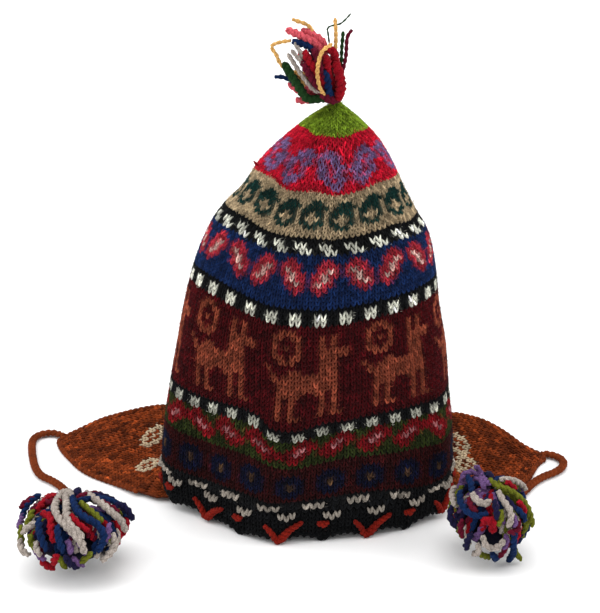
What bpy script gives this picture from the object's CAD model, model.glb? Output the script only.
"""A hand-knitted chullo hat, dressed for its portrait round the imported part.

Metres, +Z up, the front of the hat towards -Y. Every stitch, braid and yarn end takes its place from
the same sections, folds and routes as the solids. An angle is counted from the front towards +X, and
a level is a height as a share of the crown's height, along the knitted rows.
"""

import math

import bmesh
import bpy
import numpy as np
from bpy.props import FloatProperty, FloatVectorProperty, IntProperty, PointerProperty
from bpy.types import Operator, Panel, PropertyGroup
from mathutils import Matrix, Vector


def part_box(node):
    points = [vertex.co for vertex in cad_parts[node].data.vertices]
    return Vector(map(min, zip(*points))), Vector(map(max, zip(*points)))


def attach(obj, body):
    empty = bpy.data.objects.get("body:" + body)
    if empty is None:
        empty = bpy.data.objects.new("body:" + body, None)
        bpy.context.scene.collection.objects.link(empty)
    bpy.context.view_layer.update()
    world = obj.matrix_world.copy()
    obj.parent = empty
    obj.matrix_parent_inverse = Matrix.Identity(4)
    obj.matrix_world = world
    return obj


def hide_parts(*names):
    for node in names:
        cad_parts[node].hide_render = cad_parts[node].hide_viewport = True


bl_info = {
    "name": "Chullo Hat Portrait",
    "version": (1, 0, 0),
    "blender": (4, 5, 0),
    "location": "View3D > Sidebar > Chullo",
    "description": "Knits the chullo hat's visible stitches, braids and yarn ends round its frame",
    "category": "Object",
}

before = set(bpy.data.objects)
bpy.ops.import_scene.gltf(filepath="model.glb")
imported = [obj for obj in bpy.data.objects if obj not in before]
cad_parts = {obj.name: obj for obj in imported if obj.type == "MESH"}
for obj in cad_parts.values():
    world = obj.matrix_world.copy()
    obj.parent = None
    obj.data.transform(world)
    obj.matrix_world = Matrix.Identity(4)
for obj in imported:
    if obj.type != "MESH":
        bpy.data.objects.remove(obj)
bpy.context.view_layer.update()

# Sizes of the solids that the knitting follows
CROWN_HEIGHT = 0.281
CROWN_HALF_WIDTH = 0.100
KNIT_WALL = 0.0035
REAR_LIFT = 0.020
EDGING_HEIGHT = 0.0225
EDGING_WALL = 0.0040
SCALLOP_COUNT = 18
SCALLOP_DEPTH = 0.0042
SCALLOP_START_ANGLE = 6.0
FLAP_THICKNESS = 0.0035
FLAP_WIDTH = 0.092
FLAP_RISE = 0.0225
FLAP_LIP = 0.006
FLAP_HELD_SHARE = 0.42
SEAM_GAP = 0.0003
TIE_DIAMETER = 0.006
TIE_START = 0.0035

# height, centre_x, centre_y, half_width, front_depth, back_depth
CROWN_SECTIONS = (
    (0.000, 0.045, 0.020, 0.985, 0.61, 0.74),
    (0.080, 0.047, 0.020, 1.000, 0.63, 0.76),
    (0.190, 0.054, 0.015, 0.980, 0.66, 0.78),
    (0.310, 0.062, 0.010, 0.935, 0.69, 0.77),
    (0.410, 0.075, 0.005, 0.895, 0.70, 0.75),
    (0.515, 0.077, 0.000, 0.841, 0.68, 0.72),
    (0.615, 0.095, -0.010, 0.788, 0.64, 0.68),
    (0.690, 0.112, -0.020, 0.722, 0.60, 0.63),
    (0.740, 0.113, -0.030, 0.645, 0.55, 0.58),
    (0.800, 0.147, -0.040, 0.525, 0.47, 0.49),
    (0.865, 0.165, -0.055, 0.425, 0.385, 0.40),
    (0.920, 0.193, -0.070, 0.305, 0.285, 0.29),
    (0.960, 0.208, -0.080, 0.190, 0.185, 0.19),
    (0.985, 0.217, -0.088, 0.105, 0.105, 0.105),
    (1.000, 0.222, -0.092, 0.050, 0.050, 0.050),
)

# angle, spread, depth, full_below, gone_above
CROWN_FOLDS = (
    (-15.0, 9.0, 0.045, 0.12, 0.42),
    (-50.0, 19.0, -0.105, 0.12, 0.50),
    (22.0, 12.0, -0.018, 0.15, 0.35),
    (62.0, 14.0, 0.025, 0.20, 0.60),
    (150.0, 18.0, -0.050, 0.10, 0.55),
    (-150.0, 22.0, -0.040, 0.25, 0.70),
    (180.0, 12.0, 0.030, 0.20, 0.60),
)

# angle, then how far the knitted rows run above their level at each of the lift levels, as a share of
# the crown's height
LIFT_LEVELS = (0.08, 0.10, 0.165, 0.26, 0.303, 0.57, 0.7265, 0.83, 1.03)
ROW_LIFTS = (
    (-180.0, 0.0, 0.000, 0.000, 0.000, 0.000, 0.000, 0.000, 0.000, 0.0),
    (-110.0, 0.0, -0.006, -0.002, 0.000, 0.006, 0.020, 0.012, 0.010, 0.0),
    (-68.0, 0.0, -0.014, -0.005, 0.000, 0.014, 0.040, 0.025, 0.023, 0.0),
    (-48.0, 0.0, -0.008, 0.000, 0.006, 0.020, 0.036, 0.023, 0.021, 0.0),
    (-31.0, 0.0, 0.002, 0.006, 0.016, 0.027, 0.018, 0.011, 0.006, 0.0),
    (-21.0, 0.0, 0.000, 0.010, 0.004, 0.016, 0.005, 0.006, 0.006, 0.0),
    (-15.0, 0.0, -0.006, -0.004, -0.006, -0.015, 0.003, 0.004, 0.006, 0.0),
    (-6.0, 0.0, -0.004, -0.014, -0.016, -0.020, 0.001, 0.003, 0.006, 0.0),
    (5.0, 0.0, 0.000, 0.000, 0.000, 0.000, 0.000, 0.000, 0.000, 0.0),
    (14.0, 0.0, 0.006, 0.005, 0.012, 0.006, 0.004, 0.001, 0.000, 0.0),
    (24.0, 0.0, 0.008, 0.003, 0.012, 0.013, 0.009, 0.003, 0.004, 0.0),
    (35.0, 0.0, 0.005, 0.001, 0.010, 0.014, 0.0125, 0.008, 0.010, 0.0),
    (50.0, 0.0, -0.012, -0.008, 0.004, 0.010, 0.014, 0.012, 0.014, 0.0),
    (63.0, 0.0, -0.016, -0.022, -0.008, 0.002, 0.015, 0.005, 0.012, 0.0),
    (110.0, 0.0, -0.008, -0.010, -0.004, 0.000, 0.006, 0.002, 0.005, 0.0),
    (180.0, 0.0, 0.000, 0.000, 0.000, 0.000, 0.000, 0.000, 0.000, 0.0),
)

# angle, slide: how far the stitches of an upper row are drawn along it, as a share of the row
ROW_SLIDES = (
    (-180.0, 0.000),
    (-110.0, 0.000),
    (-70.0, 0.004),
    (-48.0, 0.008),
    (-35.0, 0.007),
    (-25.0, 0.003),
    (-12.0, -0.003),
    (0.0, -0.005),
    (15.0, -0.005),
    (30.0, -0.002),
    (50.0, 0.003),
    (65.0, 0.007),
    (90.0, 0.004),
    (130.0, 0.000),
    (180.0, 0.000),
)

# along, front_half, rear_half, rear_rise
FLAP_ROWS_LEFT = (
    (0.10, 0.457, 0.511, 0.80),
    (0.30, 0.418, 0.522, 1.00),
    (0.45, 0.402, 0.507, 1.00),
    (0.55, 0.380, 0.457, 0.92),
    (0.65, 0.337, 0.375, 0.80),
    (0.75, 0.272, 0.326, 0.62),
    (0.85, 0.207, 0.266, 0.42),
    (0.93, 0.141, 0.196, 0.20),
    (1.00, 0.065, 0.109, 0.00),
)
FLAP_ROWS_RIGHT = (
    (0.10, 0.459, 0.489, 0.80),
    (0.25, 0.452, 0.511, 1.00),
    (0.45, 0.413, 0.505, 1.00),
    (0.60, 0.353, 0.457, 0.85),
    (0.70, 0.288, 0.413, 0.70),
    (0.80, 0.190, 0.283, 0.50),
    (0.90, 0.100, 0.150, 0.20),
    (1.00, 0.045, 0.070, 0.00),
)

# Each flap's rim angles (front corner, middle, rear corner), heading, length and rows
FLAPS = {
    "left": ((-84.0, -117.0, -150.0), -121.6, 0.110, FLAP_ROWS_LEFT),
    "right": ((80.0, 112.0, 143.0), 112.0, 0.087, FLAP_ROWS_RIGHT),
}

# Middles of the flaps' cream rosettes, as places in the row frame
ROSETTES = {
    "left": ((-0.1060, 0.0545), (-0.1075, 0.0220)),
    "right": ((0.1170, 0.0415), (0.1190, 0.0205)),
}

# Routes of the ties in metres from the flap's tip, with the height above the lying height.
TIE_ROUTES = {
    "left": (
        (-0.0109, 0.0056, 0.0),
        (-0.0194, 0.0021, 0.0),
        (-0.0229, -0.0064, 0.0),
        (-0.0216, -0.0209, 0.0),
        (-0.0181, -0.0379, 0.0),
        (-0.0136, -0.0539, 0.0),
        (-0.0078, -0.0649, 0.0),
        (0.0004, -0.0724, 0.0),
        (0.0084, -0.0819, 0.0),
        (0.0154, -0.0949, 0.0),
        (0.0204, -0.1119, 0.001),
        (0.0244, -0.1299, 0.006),
        (0.0279, -0.1459, 0.013),
        (0.0292, -0.1519, 0.016),
    ),
    "right": (
        (0.0106, -0.0025, 0.0),
        (0.0141, -0.0105, 0.0),
        (0.0121, -0.0200, 0.0),
        (0.0056, -0.0280, 0.0),
        (-0.0029, -0.0345, 0.0),
        (-0.0109, -0.0430, 0.0),
        (-0.0179, -0.0540, 0.0),
        (-0.0249, -0.0665, 0.001),
        (-0.0324, -0.0805, 0.003),
        (-0.0394, -0.0945, 0.008),
        (-0.0459, -0.1110, 0.015),
    ),
}

# Charts, with the top row first. A dot is the band's ground colour.
CHECK_CHART = ("....", "WW..", "WW..")
DASH_CHART = ("......", ".www..", "......")
RING_CHART = (
    ".......",
    ".......",
    ".NNN...",
    "NNNNN..",
    "NNcNN..",
    "NNcNN..",
    "NNNNN..",
    ".NNN...",
    ".......",
)
LOW_LEAF = (
    "...RR.",
    "..RRRR",
    ".RRPRR",
    "RRPRR.",
    "RRRR..",
    ".RR...",
    "......",
)
LOW_LEAF_CHART = tuple(line[::-1] * 3 + line * 4 for line in LOW_LEAF)
LLAMA_CHART = (
    "................",
    "..ooo...........",
    ".oo.oo...o.o....",
    ".o...o...o.o....",
    ".o.o.o...o.o....",
    ".o...o...ooooo..",
    ".oo.oo...ooooo..",
    "..ooo....ooo....",
    ".........ooo....",
    "o...oo...ooo....",
    ".o.ooooooooo....",
    ".ooooooooooo....",
    "..oooooooooo....",
    "..oooooooooo....",
    "..oooo..oo.o....",
    "..o.o....o.o....",
    "..o.o....o.o....",
    "..o.o....o.o....",
    "..o.o....o.o....",
    "..o.oo...o.oo...",
    "................",
    "................",
)
LEAF_ROWS = (
    "..RR...RR...",
    ".RRRR.RRRR..",
    ".RRWR.RWRR..",
    "RRWRR.RRWRR.",
    "RRWR...RWRR.",
    "RWRR...RRWR.",
    "RRR.....RRR.",
    ".R.......R..",
)
BLANK = ("." * 12,)
LEAF_CHART = BLANK + LEAF_ROWS + BLANK * 3
TAN_RING_CHART = (
    "......",
    "......",
    ".GGG..",
    "GGGGG.",
    "GGGGG.",
    "GG.GG.",
    "G...G.",
    "GG.GG.",
    ".GGG..",
    "......",
    "......",
)
LILAC_ROWS = tuple(line.replace("W", ".").replace("R", "L") for line in LEAF_ROWS)
LILAC_CHART = BLANK * 3 + LILAC_ROWS[:5] + LILAC_ROWS[4:] + BLANK
PLAIN_CHART = (".",)
ROSETTE_CHART = (
    ".ooo.",
    "oo.oo",
    "o.o.o",
    "oo.oo",
    ".ooo.",
)

# The crown's bands from the edging up: name, rows, low level, high level, stitches in the lowest row,
# stitches in the highest row, repeats round the hat, turn in repeats, chart, colours of the letters.
BANDS = (
    ("dash_band", 3, 0.082, 0.118, 108, 108, 18, 0.327, DASH_CHART, {".": "black", "w": "dash"}),
    ("ring_band", 9, 0.118, 0.215, 140, 140, 20, 0.852, RING_CHART,
     {".": "dark_maroon", "N": "navy", "c": "brown_speck"}),
    ("low_leaf_band", 7, 0.215, 0.288, 126, 126, 3, 0.532, LOW_LEAF_CHART,
     {".": "moss", "R": "low_red", "P": "low_pink"}),
    ("low_check_band", 3, 0.288, 0.318, 128, 128, 32, 0.77, CHECK_CHART,
     {".": "black", "W": "low_white"}),
    ("llama_band", 22, 0.318, 0.552, 128, 128, 8, 0.47, LLAMA_CHART, {".": "maroon", "o": "llama"}),
    ("middle_check_band", 3, 0.552, 0.590, 116, 116, 29, 0.81, CHECK_CHART, {".": "black", "W": "white"}),
    ("leaf_band", 12, 0.590, 0.709, 120, 120, 10, 0.05, LEAF_CHART,
     {".": "blue", "R": "leaf_red", "W": "leaf_white"}),
    ("high_check_band", 3, 0.709, 0.743, 96, 96, 24, 0.75, CHECK_CHART, {".": "black", "W": "white"}),
    ("tan_band", 11, 0.743, 0.8325, 102, 102, 17, 0.657, TAN_RING_CHART, {".": "tan", "G": "ring_green"}),
    ("red_band", 13, 0.8325, 0.945, 84, 54, 5, 0.658, LILAC_CHART, {".": "red", "L": "lilac"}),
    ("green_tip", 12, 0.945, 1.020, 50, 6, 1, 0.0, PLAIN_CHART, {".": "tip_green"}),
)

# How much of the next stitch's dye a stitch takes, at most, in the bands that differ from the others
BLEEDS = {
    "dash_band": 0.02, "low_check_band": 0.03, "middle_check_band": 0.03, "high_check_band": 0.03,
    "llama_band": 0.18, "red_band": 0.60, "tan_band": 0.22,
}

# How much a stitch takes at most in the other bands
COMMON_BLEED = 0.30

# How much the knitting closes in for each share of the crown's height above the solid's top
TIP_CLOSING = 0.22

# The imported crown's own levels and angles, whose box places the hat
SOLID_LEVELS = 18
SOLID_CROWDING = 1.25
SOLID_ANGLES = 40

MM = 0.001

# Yarns in metres: the ties' three strands, the flaps' rows and selvedges, the crown's raised stitches, and
# the edging's border, dashes and red marks
BRAID_STRAND = 0.00155
BRAID_SPREAD = 0.0015
BRAID_RISE = 0.0007
FLAP_ROW_PITCH = 0.0031
FLAP_STITCH_WIDTH = 0.0040
FLAP_BACKING_LIFT = 0.0022
FLAP_BACKING_THICKNESS = 0.0018
SELVEDGE_PITCH = 0.0042
SELVEDGE_HALF_LENGTH = 0.0029
SELVEDGE_RADIUS = 0.0019
RAISED_LIFT = 0.0007
BORDER_INSET = 0.0015
BORDER_RADIUS = 0.0016
BORDER_DEPTH = 0.0020
DASH_LOOP_LIFT = 0.0006
DASH_LOOP_HEIGHT = 0.0031
DASH_LOOP_DEPTH = 0.0019
MARK_LIFT = 0.0008

# Where a dash's middle lies past its scallop point and how far apart its loops are, in scallops
DASH_MIDDLE = 0.19
DASH_STEP = 0.13

# How much thicker than others a raised stitch is, and how much longer than its place a border stitch is
RAISED_SWELL = 1.7
BORDER_OVERLAP = 1.35

# The crown's backing: its top level, the share of its height that its inside has, and how dark it is
# against its bands under the stitches and inside
BACKING_TOP = 1.010
BACKING_INNER_SHARE = 0.966
BACKING_SHADES = (0.22, 0.7)

# Loose fibres on the edging and on each flap
PIECE_FUZZ = 1800

# Turn between one yarn end and the next, which spreads them evenly round
GOLDEN_TURN = 2.39996

# name, direction, energy, softness in degrees
LIGHTS = (
    ("light_above", (0.05, -0.05, -1.0), 2.5, 70.0),
    ("light_left", (0.95, 0.08, -0.65), 1.5, 45.0),
    ("light_right", (-0.95, 0.08, -0.60), 1.5, 45.0),
    ("light_front", (0.1, 1.0, -0.5), 0.5, 60.0),
)
WORLD_STRENGTH = 0.25
FLOOR_HALF_SIZE = 12.0

# Places in the photograph's frame that the camera stands at and looks at
CAMERA_PLACE = (0.0, -0.9803, 0.5193)
CAMERA_TARGET = (0.0, 0.0, 0.143)
CAMERA_LENS = 93.38


def dye(name, description, red, green, blue):
    """A yarn colour property, given in everyday screen values from 0 to 255."""
    parts = [value / 255.0 for value in (red, green, blue)]
    linear = [part / 12.92 if part <= 0.04045 else ((part + 0.055) / 1.055) ** 2.4 for part in parts]
    return FloatVectorProperty(
        name=name, description=description, subtype="COLOR", size=3, min=0.0, max=1.0, default=linear
    )


def length(name, description, default):
    """A length property in metres."""
    return FloatProperty(name=name, description=description, default=default, min=0.0, unit="LENGTH")


class ChulloColours(PropertyGroup):
    """Yarn colours, from the tip down."""

    tip_green: dye("Tip green", "Ground of the tip", 106, 131, 32)
    red: dye("Red", "Ground of the oval band", 168, 16, 38)
    lilac: dye("Lilac", "Ovals of the red band", 106, 84, 126)
    tan: dye("Tan", "Ground of the upper ring band", 152, 134, 106)
    ring_green: dye("Bottle green", "Rings of the tan band", 12, 42, 38)
    white: dye("White", "Checks", 206, 206, 192)
    low_white: dye("Lower white", "Checks under the llamas", 160, 160, 148)
    black: dye("Black", "Check bands and edging", 11, 12, 14)
    blue: dye("Blue", "Ground of the leaf band", 15, 34, 72)
    leaf_red: dye("Leaf red", "Leaves of the blue band", 150, 38, 50)
    leaf_white: dye("Leaf white", "Middles of the blue band's leaves", 196, 166, 156)
    maroon: dye("Maroon", "Ground of the llama band", 60, 5, 9)
    llama: dye("Llama brown", "Llamas and their rosettes", 122, 58, 40)
    moss: dye("Moss green", "Ground of the lower leaf band", 36, 44, 15)
    low_red: dye("Lower red", "Leaves of the moss band", 104, 11, 18)
    low_pink: dye("Pink", "Middles of the moss band's leaves", 160, 104, 106)
    dark_maroon: dye("Dark maroon", "Ground of the lower ring band", 43, 8, 9)
    navy: dye("Navy", "Rings of the lowest band", 8, 12, 34)
    brown_speck: dye("Brown speck", "Middles of the navy rings", 74, 53, 35)
    dash: dye("Dash white", "Raised dashes of the edging", 144, 136, 126)
    edging_red: dye("Edging red", "Marks of the edging", 118, 24, 14)
    rust: dye("Rust", "Earflaps and ties", 108, 46, 17)
    cream: dye("Cream", "Rosettes of the earflaps", 186, 168, 140)
    yarn_white: dye("Yarn white", "Pompoms and tassel", 154, 144, 136)
    yarn_blue: dye("Yarn blue", "Pompoms and tassel", 12, 33, 70)
    yarn_red: dye("Yarn red", "Pompoms and tassel", 132, 11, 25)
    yarn_olive: dye("Yarn olive", "Pompoms and tassel", 92, 96, 26)
    yarn_lilac: dye("Yarn lilac", "Pompoms and tassel", 94, 68, 110)
    yarn_crimson: dye("Yarn crimson", "Pompoms and tassel", 84, 12, 32)
    yarn_navy: dye("Yarn navy", "Pompoms and tassel", 22, 20, 50)
    yarn_pink: dye("Yarn pink", "Tassel", 190, 78, 88)
    yarn_cream: dye("Yarn cream", "Tassel", 204, 158, 92)
    yarn_green: dye("Yarn green", "Tassel", 26, 54, 24)
    floor: dye("Floor", "Table under the hat", 250, 250, 250)


class ChulloSizes(PropertyGroup):
    """Sizes of the yarn and the light."""

    stitch_depth: length("Stitch depth", "Half the thickness of a stitch's legs", 0.00105)
    lining_inset: length("Lining inset", "How far the knitting's backing lies under its face", 0.0015)
    fuzz_length: length("Fuzz length", "Half the length of a loose fibre", 0.0015)
    fuzz_thickness: length("Fuzz thickness", "Half the thickness of a loose fibre", 0.00010)
    crown_fuzz: IntProperty(name="Crown fuzz", description="Loose fibres on the crown", default=32000)
    braid_pitch: length("Braid pitch", "Length of one turn of the ties' braid", 0.0125)
    sun_strength: FloatProperty(
        name="Sun strength", description="Strength of the soft lights", default=1.0
    )


# The hat's surface


def smoothstep(low, high, value):
    """A smooth rise from 0 at the low value to 1 at the high one."""
    share = np.clip((value - low) / (high - low), 0.0, 1.0)
    return share * share * (3.0 - 2.0 * share)


def read_table(table, position):
    """The columns of a table at positions of its first column, on a smooth curve through its rows."""
    rows = np.asarray(table, float)
    keys, columns = rows[:, 0], rows[:, 1:]
    position = np.clip(np.asarray(position, float), keys[0], keys[-1])
    index = np.clip(np.searchsorted(keys, position, side="right") - 1, 0, len(keys) - 2)
    numbers = np.arange(len(keys))
    before, after = np.maximum(numbers - 1, 0), np.minimum(numbers + 1, len(keys) - 1)
    slopes = (columns[after] - columns[before]) / (keys[after] - keys[before])[:, None]
    step = keys[index + 1] - keys[index]
    share = ((position - keys[index]) / step)[..., None]
    step = step[..., None]
    values = (
        columns[index] * (2 * share**3 - 3 * share**2 + 1)
        + slopes[index] * step * (share**3 - 2 * share**2 + share)
        + columns[index + 1] * (3 * share**2 - 2 * share**3)
        + slopes[index + 1] * step * (share**3 - share**2)
    )
    return np.moveaxis(values, -1, 0)


def angle_between(angle, other):
    """How far one angle is past another, from -180 to 180."""
    return (angle - other + 180.0) % 360.0 - 180.0


def rim_lift(angle):
    """How high the rim stands off the table."""
    side = np.abs(angle_between(angle, 0.0))
    return REAR_LIFT * (0.30 * smoothstep(35.0, 85.0, side) + 0.70 * smoothstep(75.0, 180.0, side))


def crown_point(angle, height, outset=0.0):
    """Points of the crown's surface, moved outwards by the outset, before the hat is centred."""
    angle, height = np.broadcast_arrays(np.asarray(angle, float), np.asarray(height, float))
    centre_x, centre_y, half_width, front_depth, back_depth = read_table(CROWN_SECTIONS, height)
    turn = np.radians(angle)
    depth = np.where(np.cos(turn) > 0.0, front_depth, back_depth)
    push = np.zeros_like(height)
    for middle, spread, fold, full_below, gone_above in CROWN_FOLDS:
        across = np.exp(-((angle_between(angle, middle) / spread) ** 2))
        push = push + fold * across * (1.0 - smoothstep(full_below, gone_above, height))
    push = push * CROWN_HALF_WIDTH + outset
    x = centre_x * CROWN_HALF_WIDTH + (half_width * CROWN_HALF_WIDTH + push) * np.sin(turn)
    y = centre_y * CROWN_HALF_WIDTH - (depth * CROWN_HALF_WIDTH + push) * np.cos(turn)
    z = CROWN_HEIGHT * height + rim_lift(angle) * np.maximum(1.0 - height, 0.0) ** 1.5
    return np.stack([x, y, z], axis=-1)


def centring_shift():
    """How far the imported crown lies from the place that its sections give."""
    lowest = (EDGING_HEIGHT + SEAM_GAP) / CROWN_HEIGHT
    shares = np.arange(SOLID_LEVELS + 1) / SOLID_LEVELS
    heights = lowest + (1.0 - lowest) * (1.0 - (1.0 - shares) ** SOLID_CROWDING)
    angles = np.arange(SOLID_ANGLES) * 360.0 / SOLID_ANGLES
    corners = crown_point(angles[:, None], heights[None, :]).reshape(-1, 3)
    low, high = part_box("crown")
    found = (np.array(low) + np.array(high)) / 2 - (corners.min(axis=0) + corners.max(axis=0)) / 2
    return np.array([found[0], found[1], 0.0])


SHIFT = centring_shift()


def row_lift(angle, level):
    """How far a knitted row runs above its level at this angle, as a share of the crown's height."""
    angle, level = np.broadcast_arrays(np.asarray(angle, float), np.asarray(level, float))
    lifts = read_table(ROW_LIFTS, angle_between(angle, 0.0))
    keys = np.array(LIFT_LEVELS)
    total = np.zeros_like(level)
    for index, lift in enumerate(lifts):
        weight = np.zeros(len(keys))
        weight[index] = 1.0
        total = total + lift * np.interp(level, keys, weight)
    return total


def knit_point(angle, level, outset=0.0):
    """Points of the crown along its knitted rows, in the row frame; above its top they close to a tip."""
    height = level + row_lift(angle, level)
    over = np.maximum(height - 1.0, 0.0)
    point = crown_point(angle, np.minimum(height, 1.0), outset - TIP_CLOSING * over) + SHIFT
    point[..., 2] += CROWN_HEIGHT * over
    return point


def row_middle(level):
    """The middle of each knitted row."""
    return knit_point(np.arange(24) * 15.0, np.asarray(level)[..., None]).mean(axis=-2)


def lengths_along(line):
    """How far along a line each of its points lies."""
    return np.concatenate([[0.0], np.cumsum(np.linalg.norm(np.diff(line, axis=0), axis=1))])


def rim_table():
    """Angles round the rim from the first scallop point on, and the scallops passed at each."""
    turns = SCALLOP_START_ANGLE + np.arange(721) / 2.0
    run = lengths_along(crown_point(turns, 0.0))
    return turns, run / run[-1] * SCALLOP_COUNT


RIM_TURNS, RIM_SCALLOPS = rim_table()


def scallop_angle(number):
    """The angle of a scallop point, or of a place between two of them."""
    number = np.asarray(number, float)
    rounds = np.floor(number / SCALLOP_COUNT)
    return np.interp(number - rounds * SCALLOP_COUNT, RIM_SCALLOPS, RIM_TURNS) + 360.0 * rounds


def edging_point(number, share, outset=0.0):
    """Points of the edging at scallop numbers, from its lower edge at share 0 to the crown at share 1."""
    number, share = np.broadcast_arrays(np.asarray(number, float), np.asarray(share, float))
    low = SCALLOP_DEPTH * np.abs(np.sin(np.pi * number)) ** 0.8
    height = (low + share * (EDGING_HEIGHT - low)) / CROWN_HEIGHT
    return crown_point(scallop_angle(number), height, outset) + SHIFT


def row_shares(level):
    """Angles round a knitted row, and the share of its stitches passed at each, 0 at the front."""
    fine = np.linspace(-180.0, 180.0, 721)
    run = lengths_along(knit_point(fine, level))
    (slide,) = read_table(ROW_SLIDES, fine)
    return fine, (run - np.interp(0.0, fine, run)) / run[-1] - slide * smoothstep(0.45, 0.68, level)


def stitch_angles(level, count):
    """The angles of the middles and edges of a row's stitches, which are about equally long."""
    fine, shares = row_shares(level)
    wanted = shares[0] + np.arange(count + 1) / count
    edges = np.interp(wanted, shares, fine)
    middles = np.interp(wanted[:-1] + 0.5 / count, shares, fine)
    return middles, edges, wanted[:-1] + 0.5 / count


def unit(vectors):
    """The vectors at length 1."""
    return vectors / np.maximum(np.linalg.norm(vectors, axis=-1, keepdims=True), 1e-12)


# Meshes


def add_mesh(name, data, materials, body="root"):
    """Adds a finished mesh to the scene as a piece that rides on the hat."""
    piece = bpy.data.objects.new(name, data)
    bpy.context.scene.collection.objects.link(piece)
    for finish in materials:
        data.materials.append(finish)
    data.shade_smooth()
    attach(piece, body)
    return piece


def mesh_from(mesh, name):
    """A mesh of the bmesh, which is freed."""
    data = bpy.data.meshes.new(name)
    mesh.to_mesh(data)
    mesh.free()
    return data


def pattern_of(mesh):
    """The points, corners and face starts of a bmesh, to be copied many times."""
    data = mesh_from(mesh, "pattern")
    points = np.empty(len(data.vertices) * 3)
    data.vertices.foreach_get("co", points)
    corners = np.empty(len(data.loops), np.int32)
    data.loops.foreach_get("vertex_index", corners)
    starts = np.empty(len(data.polygons), np.int32)
    data.polygons.foreach_get("loop_start", starts)
    bpy.data.meshes.remove(data)
    return points.reshape(-1, 3), corners, starts


def paint(data, colours):
    """Stores a colour for each point of a mesh, which the wool materials read."""
    layer = data.attributes.new("yarn_colour", "FLOAT_COLOR", "POINT")
    values = np.ones((len(data.vertices), 4), np.float32)
    values[:, :3] = np.clip(colours, 0.0, 1.0)
    layer.data.foreach_set("color", values.ravel())


def copies(name, pattern, places, rights, ups, outs, colours):
    """One mesh of many copies of a pattern, each with its own place, axes and colour at each point."""
    points, corners, starts = pattern
    count = len(places)
    laid = (
        places[:, None, :]
        + points[None, :, 0:1] * rights[:, None, :]
        + points[None, :, 1:2] * ups[:, None, :]
        + points[None, :, 2:3] * outs[:, None, :]
    )
    data = bpy.data.meshes.new(name)
    data.vertices.add(count * len(points))
    data.vertices.foreach_set("co", laid.astype(np.float32).ravel())
    numbers = np.arange(count, dtype=np.int32)[:, None]
    data.loops.add(count * len(corners))
    data.loops.foreach_set("vertex_index", (corners[None, :] + numbers * len(points)).ravel())
    data.polygons.add(count * len(starts))
    data.polygons.foreach_set("loop_start", (starts[None, :] + numbers * len(corners)).ravel())
    data.update(calc_edges=True)
    if colours.ndim == 2:
        colours = np.repeat(colours[:, None, :], len(points), axis=1)
    paint(data, colours.reshape(-1, 3))
    return data


def add_copies(name, slot, finish, *laid):
    """A piece made of copies of a pattern, in its material slot."""
    piece = add_mesh(name, copies(name, *laid), [finish])
    return piece


def uneven(colour, count, chance, middle, spread):
    """One colour given many times, a little darker or paler each time."""
    return np.tile(np.array(colour), (count, 1)) * chance.normal(middle, spread, (count, 1))


def stitch_pattern(leg=0.205):
    """A knit stitch, one wide and one high: two slim legs that meet low down and part at the top."""
    mesh = bmesh.new()
    for side in (-1.0, 1.0):
        size = Matrix.Diagonal((leg, 0.80, 1.0, 1.0))
        lean = Matrix.Identity(4)
        lean[0][1] = side * 0.25
        lean[2][1] = -0.45
        place = Matrix.Translation((side * 0.24, 0.0, 0.0))
        bmesh.ops.create_uvsphere(
            mesh, u_segments=5, v_segments=3, radius=1.0,
            matrix=place @ lean @ size @ Matrix.Rotation(math.radians(90.0), 4, "X"),
        )
    return pattern_of(mesh)


def bead_pattern(segments=8, rings=5):
    """A round bead of radius 1."""
    mesh = bmesh.new()
    bmesh.ops.create_uvsphere(mesh, u_segments=segments, v_segments=rings, radius=1.0)
    return pattern_of(mesh)


def fibre_pattern(arch):
    """A loose fibre along X, pointed at both ends, whose ends drop by the arch."""
    mesh = bmesh.new()
    turned = Matrix.Rotation(math.radians(90.0), 4, "Y")
    bmesh.ops.create_uvsphere(mesh, u_segments=3, v_segments=2, radius=1.0, matrix=turned)
    for vertex in mesh.verts:
        vertex.co.z -= arch * vertex.co.x**2
    return pattern_of(mesh)


def fuzz(name, slot, chance, count, places, rights, ups, outs, colours):
    """Loose fibres that lie and stand on a knitted surface, in its own colours but mostly paler."""
    sizes = bpy.context.scene.chullo_sizes
    picked = chance.integers(0, len(places), count)
    right, up, out = unit(rights[picked]), unit(ups[picked]), unit(outs[picked])
    turn = chance.uniform(0.0, math.pi, (count, 1))
    rise = np.where(chance.random((count, 1)) < 0.35, chance.uniform(0.2, 1.2, (count, 1)), 0.0)
    way = unit(right * np.cos(turn) + up * np.sin(turn))
    way = way * np.cos(rise) + out * np.sin(rise)
    reach = sizes.fuzz_length * chance.uniform(0.5, 1.5, (count, 1))
    side = unit(np.cross(out, way) + 1e-6)
    above = np.cross(way, side)
    middle = (
        places[picked]
        + rights[picked] * chance.uniform(-0.8, 0.8, (count, 1))
        + ups[picked] * chance.uniform(-0.8, 0.8, (count, 1))
        + out * (chance.uniform(0.0004, 0.0012, (count, 1)) + np.sin(rise) * reach * 0.7)
    )
    middle[:, 2] = np.maximum(middle[:, 2], 0.0008)
    bright = colours[picked].mean(axis=1, keepdims=True) > 0.35
    gain = np.where(bright, chance.uniform(0.4, 1.1, (count, 1)), chance.uniform(0.4, 2.8, (count, 1)))
    shades = colours[picked] * gain + chance.uniform(0.0, 0.010, (count, 1))
    return add_copies(
        name, slot, shared_wool("loose_wool", contrast=0.5, bump=0.2), fibre_pattern(5.0), middle,
        way * reach, side * sizes.fuzz_thickness, above * sizes.fuzz_thickness, shades,
    )


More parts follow.
